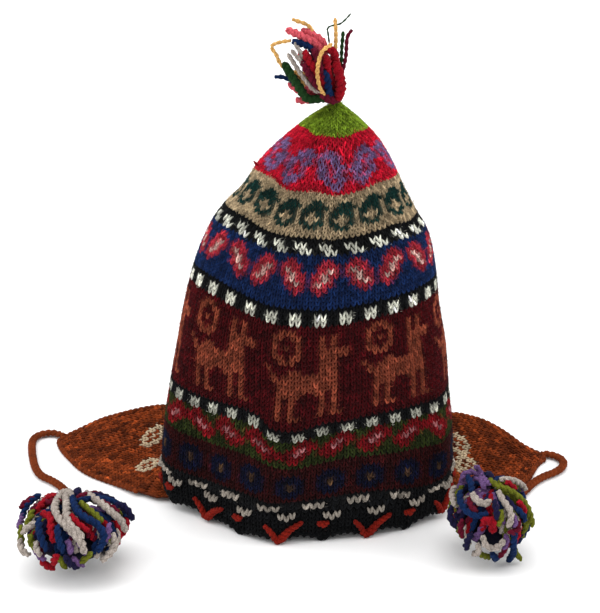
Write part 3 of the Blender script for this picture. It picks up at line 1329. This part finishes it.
class CHULLO_OT_edging(Operator):
    """Work the scalloped edging with its raised dashes and red marks"""

    bl_idname = "chullo.edging"
    bl_label = "Edging"

    def execute(self, context):
        colours = context.scene.chullo_colours
        sizes = context.scene.chullo_sizes
        chance = np.random.default_rng(23)
        shares = np.linspace(0.0, 1.0, 6)
        profile = [(2.0, share) for share in shares] + [(1.0, share) for share in shares[::-1]]
        mesh = spun_wall(profile, SCALLOP_COUNT * 12, True)
        angle, radius, share = unit_places(mesh)
        number = angle / 360.0 * SCALLOP_COUNT
        outset = np.where(radius > 1.5, -sizes.lining_inset, -EDGING_WALL)
        move_points(mesh, edging_point(number, share, outset))
        dark = [part * 0.6 for part in colours.black]
        finish = shared_wool("edging_wool", colour=dark, contrast=1.5, bump=1.0)
        body = add_mesh("edging_backing", mesh_from(mesh, "edging_backing"), [finish])
        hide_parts("rim_edging")

        knit = shared_wool("knit_wool")
        rows, each = 6, 6
        numbers = (np.arange(SCALLOP_COUNT * each) + 0.5) / each
        half = 0.5 / each
        places, rights, ups = [], [], []
        for row in range(rows):
            middle = (row + 0.5) / rows
            places.append(edging_point(numbers, middle, -sizes.stitch_depth))
            rights.append(edging_point(numbers + half, middle) - edging_point(numbers - half, middle))
            above, below = (edging_point(numbers, middle + side / rows) for side in (0.5, -0.5))
            ups.append(above - below)
        places, rights, ups = np.vstack(places), np.vstack(rights), np.vstack(ups)
        outs = unit(np.cross(rights, ups))
        base = uneven(colours.black, len(places), chance, 1.0, 0.25)
        add_copies(
            "knit_edging", "edging_knit", knit, stitch_pattern(), places, rights, ups,
            outs * sizes.stitch_depth * 1.2, base,
        )
        fuzz("fuzz_edging", "edging_knit", chance, PIECE_FUZZ, places, rights, ups, outs, base)

        self.border(colours, knit, chance)
        self.dashes(colours, knit, chance)
        self.red_marks(colours)
        return {"FINISHED"}

    def border(self, colours, knit, chance):
        """Small round stitches along the scallops, drawn out into a point between two arches."""
        numbers = np.arange(SCALLOP_COUNT * 8) / 8.0
        places = edging_point(numbers, 0.0, -BORDER_INSET)
        nexts = edging_point(numbers + 1.0 / 16.0, 0.0, -BORDER_INSET)
        rights = (nexts - places) * BORDER_OVERLAP
        outs = unit(np.cross(rights, np.array([0.0, 0.0, 1.0]))) * BORDER_DEPTH
        ups = unit(np.cross(outs, rights)) * BORDER_RADIUS
        dark = uneven(colours.black, len(places), chance, 1.1, 0.2)
        places = places + np.array([0.0, 0.0, BORDER_RADIUS])
        add_copies("edging_border", "edging_knit", knit, bead_pattern(), places, rights, ups, outs, dark)

    def dashes(self, colours, knit, chance):
        """Raised pale dashes of three thick loops just right of each scallop point, their ends raised."""
        loops = np.array(((-DASH_STEP, 0.0, DASH_STEP),))
        numbers = (np.arange(SCALLOP_COUNT)[:, None] + DASH_MIDDLE + loops).ravel()
        shares = np.tile((0.91, 0.83, 0.91), SCALLOP_COUNT)
        places = edging_point(numbers, shares, DASH_LOOP_LIFT)
        after, before = (edging_point(numbers + side * DASH_STEP, shares) for side in (0.5, -0.5))
        rights = after - before
        ups = np.tile(np.array([0.0, 0.0, DASH_LOOP_HEIGHT]), (len(places), 1))
        outs = unit(np.cross(rights, ups)) * DASH_LOOP_DEPTH
        pale = uneven(colours.dash, len(places), chance, 1.0, 0.08)
        add_copies(
            "edging_dashes", "edging_knit", knit, stitch_pattern(0.30), places, rights, ups, outs, pale
        )

    def red_marks(self, colours):
        """A thick red V on every second scallop point and a short red knot over the others."""
        strands = []
        for number in range(SCALLOP_COUNT):
            if number % 2:
                route = ((-0.30, 0.54), (-0.15, 0.32), (0.0, 0.10), (0.25, 0.34), (0.55, 0.64))
                radii = (0.0019, 0.0022, 0.0031, 0.0023, 0.0019)
            else:
                route = ((-0.12, 0.62), (0.0, 0.60), (0.12, 0.64))
                radii = (0.0021, 0.0026, 0.0021)
            points = [edging_point(number + turn, share, MARK_LIFT) for turn, share in route]
            path = smooth_path(points, spacing=0.0012)
            along = np.linspace(0.0, 1.0, len(path))
            radius = np.interp(along, np.linspace(0.0, 1.0, len(radii)), radii)
            strands += twisted(path, radius, 0, turns_per_metre=150.0)
        finish = shared_wool("edging_red", colour=colours.edging_red)
        data = strand_mesh("edging_red_marks", strands, [])
        add_mesh("edging_red_marks", data, [finish])


class CHULLO_OT_earflaps(Operator):
    """Knit the two earflaps with their rosettes and selvedges"""

    bl_idname = "chullo.earflaps"
    bl_label = "Earflaps"

    def execute(self, context):
        chance = np.random.default_rng(31)
        for side in ("left", "right"):
            surface = flap_surface(side)
            sheet = self.backing(side, surface)
            knit = self.stitches(side, surface, chance)
        return {"FINISHED"}

    def flat_size(self, side):
        """Width and length of the flap laid flat, with the strip held under the edging."""
        return (FLAP_WIDTH, FLAPS[side][2] + FLAP_LIP + EDGING_WALL)

    def flat_area(self, side):
        """Area of the flap's own outline, from its rows."""
        rows = np.array(FLAPS[side][3])
        widths = (rows[:, 1] + rows[:, 2]) * FLAP_WIDTH
        distances = rows[:, 0] * FLAPS[side][2]
        base = widths[0] * (distances[0] + FLAP_LIP + EDGING_WALL)
        return float(base + np.sum((widths[1:] + widths[:-1]) / 2 * np.diff(distances)))

    def backing(self, side, surface):
        """The flap's smooth backing cloth."""
        mesh = bmesh.new()
        bmesh.ops.create_grid(mesh, x_segments=40, y_segments=60, size=1.0)
        mesh.verts.ensure_lookup_table()
        places = np.array([vertex.co[:] for vertex in mesh.verts])
        across, along = places[:, 0], (places[:, 1] + 1.0) / 2.0
        move_points(mesh, read_surface(surface, along, across * 0.98, FLAP_BACKING_LIFT))
        bmesh.ops.recalc_face_normals(mesh, faces=mesh.faces)
        if mesh.faces[0].normal.z < 0.0:
            bmesh.ops.reverse_faces(mesh, faces=mesh.faces)
        bmesh.ops.solidify(mesh, geom=mesh.faces, thickness=FLAP_BACKING_THICKNESS)
        dark = [part * 0.5 for part in bpy.context.scene.chullo_colours.rust]
        finish = shared_wool("rust_backing", colour=dark, contrast=1.5, bump=1.0)
        piece = add_mesh("flap_backing_" + side, mesh_from(mesh, "flap_backing_" + side), [finish])
        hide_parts("earflap_" + side)
        return piece

    def stitches(self, side, surface, chance):
        """The flap's stitches, rosettes, selvedge and loose fibres."""
        colours = bpy.context.scene.chullo_colours
        sizes = bpy.context.scene.chullo_sizes
        middle_line = read_surface(surface, np.linspace(0, 1, 200), np.zeros(200), 0.0)
        run = lengths_along(middle_line)
        rows = int(run[-1] / FLAP_ROW_PITCH)
        places, rights, ups = [], [], []
        for row in range(rows):
            levels = (row + np.array((0.0, 0.5, 1.0))) * FLAP_ROW_PITCH
            behind, along, ahead = np.interp(levels, run, np.linspace(0, 1, 200))
            line = read_surface(surface, np.full(60, along), np.linspace(-1, 1, 60), 0.0)
            width = np.linalg.norm(np.diff(line, axis=0), axis=1).sum()
            count = max(round(width / FLAP_STITCH_WIDTH), 2)
            edges = np.linspace(-1.0, 1.0, count + 1)
            middles = (edges[1:] + edges[:-1]) / 2
            here = np.full(count, along)
            places.append(read_surface(surface, here, middles, FLAP_THICKNESS - sizes.stitch_depth))
            corners = read_surface(surface, np.full(count + 1, along), edges, 0)
            rights.append(corners[1:] - corners[:-1])
            above = read_surface(surface, np.full(count, ahead), middles, 0)
            below = read_surface(surface, np.full(count, behind), middles, 0)
            ups.append(above - below)
        places, rights, ups = np.vstack(places), np.vstack(rights), np.vstack(ups)
        outs = unit(np.cross(rights, ups))
        flipped = outs[:, 2] < 0.0
        rights[flipped] *= -1.0
        outs[flipped] *= -1.0
        shades = np.tile(np.array(colours.rust), (len(places), 1))
        shades *= np.exp(chance.normal(0.0, 0.42, (len(places), 1)))
        along, across = heading_vectors(FLAPS[side][1])
        size = len(ROSETTE_CHART)
        for middle in ROSETTES[side]:
            offset = places[:, :2] - np.array(middle)
            row = np.round(offset @ along[:2] / FLAP_ROW_PITCH).astype(int) + size // 2
            column = np.round(offset @ across[:2] / FLAP_STITCH_WIDTH).astype(int) + size // 2
            for index in np.flatnonzero((row >= 0) & (row < size) & (column >= 0) & (column < size)):
                if ROSETTE_CHART[row[index]][column[index]] == "o":
                    shades[index] = colours.cream
        outs *= chance.uniform(0.9, 1.3, (len(places), 1))
        knitted = add_copies(
            "flap_knit_" + side, "flap_knit", shared_wool("knit_wool"), stitch_pattern(), places, rights,
            ups, outs * sizes.stitch_depth, shades,
        )
        edge = self.selvedge(side, surface, chance)
        fibres = fuzz(
            "fuzz_flap_" + side, "flap_knit", chance, PIECE_FUZZ, places, rights, ups, unit(outs), shades
        )
        return [knitted, edge, fibres]

    def selvedge(self, side, surface, chance):
        """Round edge stitches along both sides and the tip of a flap."""
        loop = np.concatenate([
            read_surface(surface, np.linspace(0.1, 1.0, 80), np.full(80, -1.0), FLAP_THICKNESS / 2),
            read_surface(surface, np.full(20, 1.0), np.linspace(-0.9, 0.9, 20), FLAP_THICKNESS / 2),
            read_surface(surface, np.linspace(1.0, 0.1, 80), np.full(80, 1.0), FLAP_THICKNESS / 2),
        ])
        path = smooth_path(loop, SELVEDGE_PITCH)
        rights = unit(np.gradient(path, axis=0)) * SELVEDGE_HALF_LENGTH
        outs = np.tile(np.array([0.0, 0.0, SELVEDGE_RADIUS]), (len(path), 1))
        ups = unit(np.cross(outs, rights)) * SELVEDGE_RADIUS
        path[:, 2] = np.maximum(path[:, 2], SELVEDGE_RADIUS)
        shades = uneven(bpy.context.scene.chullo_colours.rust, len(path), chance, 0.95, 0.12)
        return add_copies(
            "flap_selvedge_" + side, "flap_knit", shared_wool("knit_wool"), bead_pattern(), path, rights,
            ups, outs, shades,
        )


def flap_surface(side):
    """A fine grid of points on a flap's underside: along from its base to its tip, across to the back."""
    angles, heading, flap_length, rows = FLAPS[side]
    along, across = heading_vectors(heading)
    middle = rim_point(angles[1], 0.0)
    shares = np.linspace(-1.0, 1.0, 41)
    corner = np.where(shares < 0.0, angles[0], angles[2])
    rim_angles = angles[1] + np.abs(shares) * (corner - angles[1])
    held_heights = np.maximum(rim_lift(rim_angles) - SEAM_GAP - FLAP_THICKNESS, 0.0)
    lines = []
    for outset in (-FLAP_LIP - EDGING_WALL, FLAP_LIP):
        line = rim_point(rim_angles, outset)
        line[:, 2] = held_heights
        lines.append(line)
    lines.insert(1, (lines[0] + lines[1]) / 2)
    free_heights = FLAP_RISE * np.maximum((shares + 0.25) / 1.25, 0.0) ** 1.2
    for distance in np.linspace(rows[0][0], 1.0, 28):
        front_half, rear_half, rise = read_table(rows, distance)
        held = 1.0 - smoothstep(0.0, FLAP_HELD_SHARE, distance)
        half = np.where(shares < 0.0, front_half, rear_half)
        line = middle + along * distance * flap_length + (shares * half * FLAP_WIDTH)[:, None] * across
        line[:, 2] = held * held_heights + (1.0 - held) * rise * free_heights
        lines.append(line)
    return np.array(lines)


def read_surface(surface, along, across, lift):
    """Points of a flap at shares along it and across it, lifted off its underside."""
    rows, columns = surface.shape[:2]
    y = np.clip(np.asarray(along, float), 0.0, 1.0) * (rows - 1)
    x = (np.clip(np.asarray(across, float), -1.0, 1.0) + 1.0) / 2.0 * (columns - 1)
    row = np.minimum(y.astype(int), rows - 2)
    column = np.minimum(x.astype(int), columns - 2)
    dy, dx = (y - row)[:, None], (x - column)[:, None]
    found = (
        surface[row, column] * (1 - dy) * (1 - dx)
        + surface[row + 1, column] * dy * (1 - dx)
        + surface[row, column + 1] * (1 - dy) * dx
        + surface[row + 1, column + 1] * dy * dx
    )
    found[:, 2] += lift
    return found


# The tassel's yarns, and the share of the small ends that each takes
TASSEL_YARNS = (
    "yarn_red", "yarn_pink", "yarn_cream", "yarn_blue", "yarn_white", "yarn_green", "yarn_crimson",
)
TASSEL_SHARES = (0.28, 0.34, 0.03, 0.08, 0.14, 0.03, 0.10)
SMALL_ENDS = 84

# Distance between the points of a tassel yarn, and its twist in turns for each metre
TASSEL_SPACING = 0.0018
TASSEL_TWIST = 130.0

# The tassel's leading yarn ends: yarn number, half thickness, then places in millimetres right of, in
# front of and above its foot, up to the cut end. A yarn in front stands higher by the rake's share of
# its front place, as the camera looks down on it.
TASSEL_RAKE = 0.48
TASSEL_ENDS = (
    (2, 1.4, (-10.9, 5.0, 23.0), (-15.3, 4.0, 42.0), (-26.9, 4.0, 48.0)),
    (1, 2.1, (-9.9, 7.0, 28.6), (-20.3, 8.0, 36.0), (-30.3, 6.0, 41.0)),
    (1, 2.1, (-7.2, 4.0, 23.6), (-8.6, 5.0, 34.0), (-21.0, 4.0, 41.6)),
    (3, 2.0, (-10.9, 9.0, 19.0), (-16.1, 9.0, 29.5), (-26.6, 9.0, 33.0)),
    (2, 1.3, (-17.2, 8.0, 5.3), (-33.0, 7.0, 18.3), (-36.6, 6.0, 25.3), (-39.7, 5.0, 31.0),
     (-34.7, 5.0, 33.5), (-27.8, 7.0, 34.0)),
    (5, 2.4, (-10.0, 9.0, -2.5), (-17.8, 11.0, -3.0), (-23.4, 11.0, 5.0), (-28.4, 10.0, 13.0),
     (-31.9, 8.0, 20.0)),
    (3, 1.5, (-16.0, 5.0, 4.0), (-24.7, 5.0, 8.0), (-31.9, 4.0, 12.0), (-37.8, 4.0, 12.3)),
    (1, 2.0, (-12.0, 4.0, 1.0), (-18.4, 4.0, 1.0), (-29.4, 4.0, 8.3)),
    (1, 2.1, (-10.0, 6.0, -1.5), (-18.0, 7.0, -3.0), (-24.4, 7.0, -3.0)),
    (4, 1.5, (-9.0, 10.0, 1.0), (-14.7, 12.0, 3.0), (-22.2, 13.0, 12.6), (-29.7, 11.0, 25.0)),
    (4, 1.4, (-8.0, 10.0, 4.0), (-13.0, 14.0, 8.0), (-20.0, 14.0, 17.0), (-27.5, 12.0, 27.0)),
    (4, 1.4, (-8.0, 9.0, 8.0), (-14.0, 12.0, 15.0), (-21.0, 12.0, 24.0), (-25.5, 10.0, 32.0)),
    (0, 2.3, (-6.0, 9.0, 4.0), (-10.9, 13.0, 10.6), (-15.9, 14.0, 18.3), (-19.7, 12.0, 26.0)),
    (6, 2.1, (-5.0, 9.0, 3.0), (-9.0, 13.0, 12.0), (-12.0, 14.0, 22.0), (-14.0, 11.0, 28.0)),
    (6, 2.1, (-6.0, 8.0, 2.0), (-12.0, 13.0, 5.0), (-17.5, 15.0, 13.0), (-21.0, 13.0, 20.0)),
    (2, 1.3, (-8.4, 14.0, 0.0), (-11.6, 17.5, 9.0), (-10.9, 18.0, 18.3), (-8.4, 17.0, 25.0),
     (-2.8, 12.0, 30.5)),
    (0, 2.2, (-1.0, 6.0, 20.6), (-1.6, 8.0, 27.0), (-7.2, 9.0, 28.4)),
    (0, 2.1, (-5.2, 11.0, 15.0), (-5.8, 13.0, 19.5), (-6.8, 13.0, 23.0)),
    (3, 2.0, (-4.3, 11.0, 0.6), (-5.6, 13.0, 8.6), (-7.4, 13.0, 14.0)),
    (0, 2.7, (1.3, 7.0, -1.0), (3.0, 10.0, 4.3), (1.7, 11.0, 12.3), (-0.6, 9.0, 20.3)),
    (2, 1.3, (-1.5, 4.0, 16.0), (-0.3, 4.0, 35.0), (-0.8, 3.0, 49.0)),
    (5, 0.6, (-4.7, 3.0, 36.9), (-4.9, 3.0, 43.3), (2.8, 2.0, 46.0), (8.8, 2.0, 52.0)),
    (5, 1.2, (2.9, 4.0, 19.3), (3.4, 3.0, 30.3), (4.2, 2.0, 41.0)),
    (6, 1.3, (3.8, 5.0, 14.8), (5.9, 4.0, 25.0), (6.7, 3.0, 37.0), (9.6, 2.0, 42.0)),
    (6, 2.6, (-1.2, 7.0, -3.0), (-5.4, 10.0, -2.5), (-9.9, 11.0, 2.0)),
)


def swelling(path):
    """How much a tassel yarn has swelled out at each point of its path, from its tied foot on."""
    return np.clip(0.55 + lengths_along(path) / 0.016, 0.0, 1.0)


class CHULLO_OT_tassel(Operator):
    """Tie the tassel of loose yarn ends at the tip"""

    bl_idname = "chullo.tassel"
    bl_label = "Top tassel"

    def execute(self, context):
        chance = np.random.default_rng(5)
        apex = row_middle(1.016)
        strands = []
        for yarn, thick, *route in TASSEL_ENDS:
            points = [
                apex + np.array((right, -front, above + TASSEL_RAKE * front)) * MM
                for right, front, above in route
            ]
            start = apex + (points[0] - apex) * 0.10 + np.array((0.0, 0.0, 0.001))
            path = smooth_path([apex - (0.0, 0.0, 0.003), start, *points], TASSEL_SPACING)
            swell = swelling(path) * (1.3 if thick > 1.8 else 1.05)
            strands += twisted(path, thick * MM * swell, yarn, TASSEL_TWIST)
        for number in range(SMALL_ENDS):
            turn = number * GOLDEN_TURN
            spread = chance.uniform(0.1, 1.0)
            end = np.array((
                -0.0125 + 0.0145 * spread * math.cos(turn),
                0.001 + 0.012 * spread * math.sin(turn),
                chance.uniform(0.010, 0.031),
            ))
            points = [(0.0, 0.0, -0.003), end * 0.12, end * 0.6 + chance.normal(0.0, 0.0025, 3), end]
            yarn = int(chance.choice(len(TASSEL_YARNS), p=TASSEL_SHARES))
            path = smooth_path(np.array(points) + apex, TASSEL_SPACING)
            strands += twisted(path, chance.uniform(0.0019, 0.0027) * swelling(path), yarn, TASSEL_TWIST)
        data = strand_mesh("tassel_yarn", strands, yarn_slots(TASSEL_YARNS))
        piece = add_mesh("tassel_yarn", data, [])
        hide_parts("top_tassel")

        root = knit_point(-82.0, 0.845, 0.0)
        stray = np.array([root, root + (-0.0015, -0.001, 0.001), root + (-0.003, -0.0015, 0.0032)])
        loose = strand_mesh("stray_end", twisted(smooth_path(stray, spacing=0.001), 0.0009, 0), [])
        finish = shared_wool("stray_red", colour=context.scene.chullo_colours.yarn_red)
        add_mesh("stray_end", loose, [finish])
        return {"FINISHED"}


class CHULLO_PT_panel(Panel):
    """Lists the steps that dress the hat"""

    bl_idname = "CHULLO_PT_panel"
    bl_label = "Chullo hat"
    bl_space_type = "VIEW_3D"
    bl_region_type = "UI"
    bl_category = "Chullo"

    def draw(self, context):
        for step in STEPS:
            self.layout.operator(step.bl_idname)
        for name in ChulloSizes.__annotations__:
            self.layout.prop(context.scene.chullo_sizes, name)
        for name in ChulloColours.__annotations__:
            self.layout.prop(context.scene.chullo_colours, name)


STEPS = (
    CHULLO_OT_stage,
    CHULLO_OT_ties,
    CHULLO_OT_lining,
    CHULLO_OT_bands,
    CHULLO_OT_edging,
    CHULLO_OT_earflaps,
    CHULLO_OT_tassel,
)
CLASSES = (ChulloColours, ChulloSizes, *STEPS, CHULLO_PT_panel)


def register():
    for made in CLASSES:
        bpy.utils.register_class(made)
    bpy.types.Scene.chullo_colours = PointerProperty(type=ChulloColours)
    bpy.types.Scene.chullo_sizes = PointerProperty(type=ChulloSizes)


def unregister():
    del bpy.types.Scene.chullo_sizes
    del bpy.types.Scene.chullo_colours
    for made in reversed(CLASSES):
        bpy.utils.unregister_class(made)


def main():
    register()
    bpy.ops.chullo.stage()
    bpy.ops.chullo.ties()
    bpy.ops.chullo.lining()
    bpy.ops.chullo.bands()
    bpy.ops.chullo.edging()
    bpy.ops.chullo.earflaps()
    bpy.ops.chullo.tassel()


if __name__ == "__main__":
    main()
